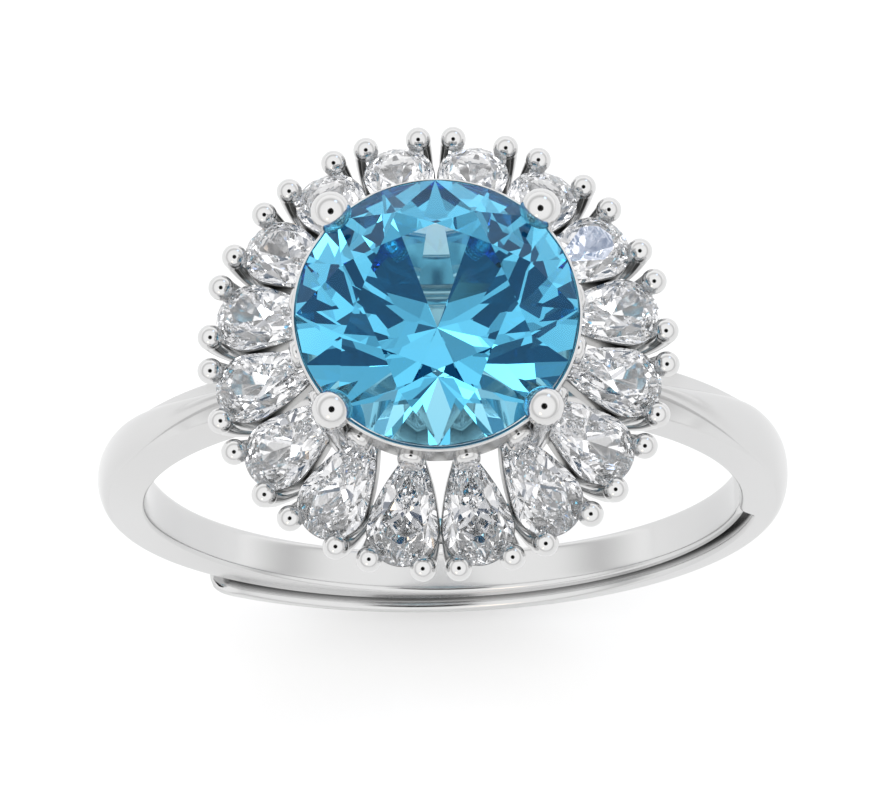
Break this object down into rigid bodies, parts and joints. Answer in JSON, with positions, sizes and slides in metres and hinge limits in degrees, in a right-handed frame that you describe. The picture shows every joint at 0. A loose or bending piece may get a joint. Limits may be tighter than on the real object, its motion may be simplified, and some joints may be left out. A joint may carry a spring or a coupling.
{
  "type": "cocktail ring",
  "caption": "Adjustable cocktail ring: a round blue stone in claws inside a halo of clear pear stones, on a domed band whose two overlapping leaves slide to fit the finger.",
  "frame": {"origin": "centre of the finger hole, halfway along its wall", "axes": "+Y along the finger, +Z from the finger hole to the centre stone, +X to the right of somebody looking along +Y"},
  "size_m": [0.021, 0.0136, 0.0271],
  "materials": {
    "band_metal": "mirror-polished rhodium plate over silver",
    "setting_metal": "polished rhodium plate over cast silver",
    "blue_stone": "polished faceted blue stone",
    "clear_stone": "polished faceted clear stone"
  },
  "bodies": {
    "head": {"upper_arch": "band_metal", "stone_collar": "setting_metal", "basket_base": "setting_metal", "halo_rail": "setting_metal", "bead_claws": "setting_metal", "tip_prongs": "setting_metal", "centre_claw_1": "setting_metal", "centre_claw_2": "setting_metal", "centre_claw_3": "setting_metal", "centre_claw_4": "setting_metal", "pear_cup_01": "setting_metal", "pear_cup_02": "setting_metal", "pear_cup_03": "setting_metal", "pear_cup_04": "setting_metal", "pear_cup_05": "setting_metal", "pear_cup_06": "setting_metal", "pear_cup_07": "setting_metal", "pear_cup_08": "setting_metal", "pear_cup_09": "setting_metal", "pear_cup_10": "setting_metal", "pear_cup_11": "setting_metal", "pear_cup_12": "setting_metal", "pear_cup_13": "setting_metal", "pear_cup_14": "setting_metal", "pear_cup_15": "setting_metal", "pear_cup_16": "setting_metal", "centre_stone": "blue_stone", "pear_stone_01": "clear_stone", "pear_stone_02": "clear_stone", "pear_stone_03": "clear_stone", "pear_stone_04": "clear_stone", "pear_stone_05": "clear_stone", "pear_stone_06": "clear_stone", "pear_stone_07": "clear_stone", "pear_stone_08": "clear_stone", "pear_stone_09": "clear_stone", "pear_stone_10": "clear_stone", "pear_stone_11": "clear_stone", "pear_stone_12": "clear_stone", "pear_stone_13": "clear_stone", "pear_stone_14": "clear_stone", "pear_stone_15": "clear_stone", "pear_stone_16": "clear_stone"},
    "inner_leaf": {"inner_leaf": "band_metal"},
    "outer_leaf": {"outer_leaf": "band_metal"}
  },
  "joints": [
    {"name": "inner_leaf_flex", "type": "hinge", "parent": "head", "child": "inner_leaf", "pos_m": [-0.00978, 0, 0], "axis": [0, 1, 0], "range_deg": [0, 5.5]},
    {"name": "outer_leaf_flex", "type": "hinge", "parent": "head", "child": "outer_leaf", "pos_m": [0.00978, 0, 0], "axis": [0, 1, 0], "range_deg": [-5, 0]}
  ],
  "couplings": [
    {"joint": "outer_leaf_flex", "follows": "inner_leaf_flex", "ratio": -0.9}
  ]
}
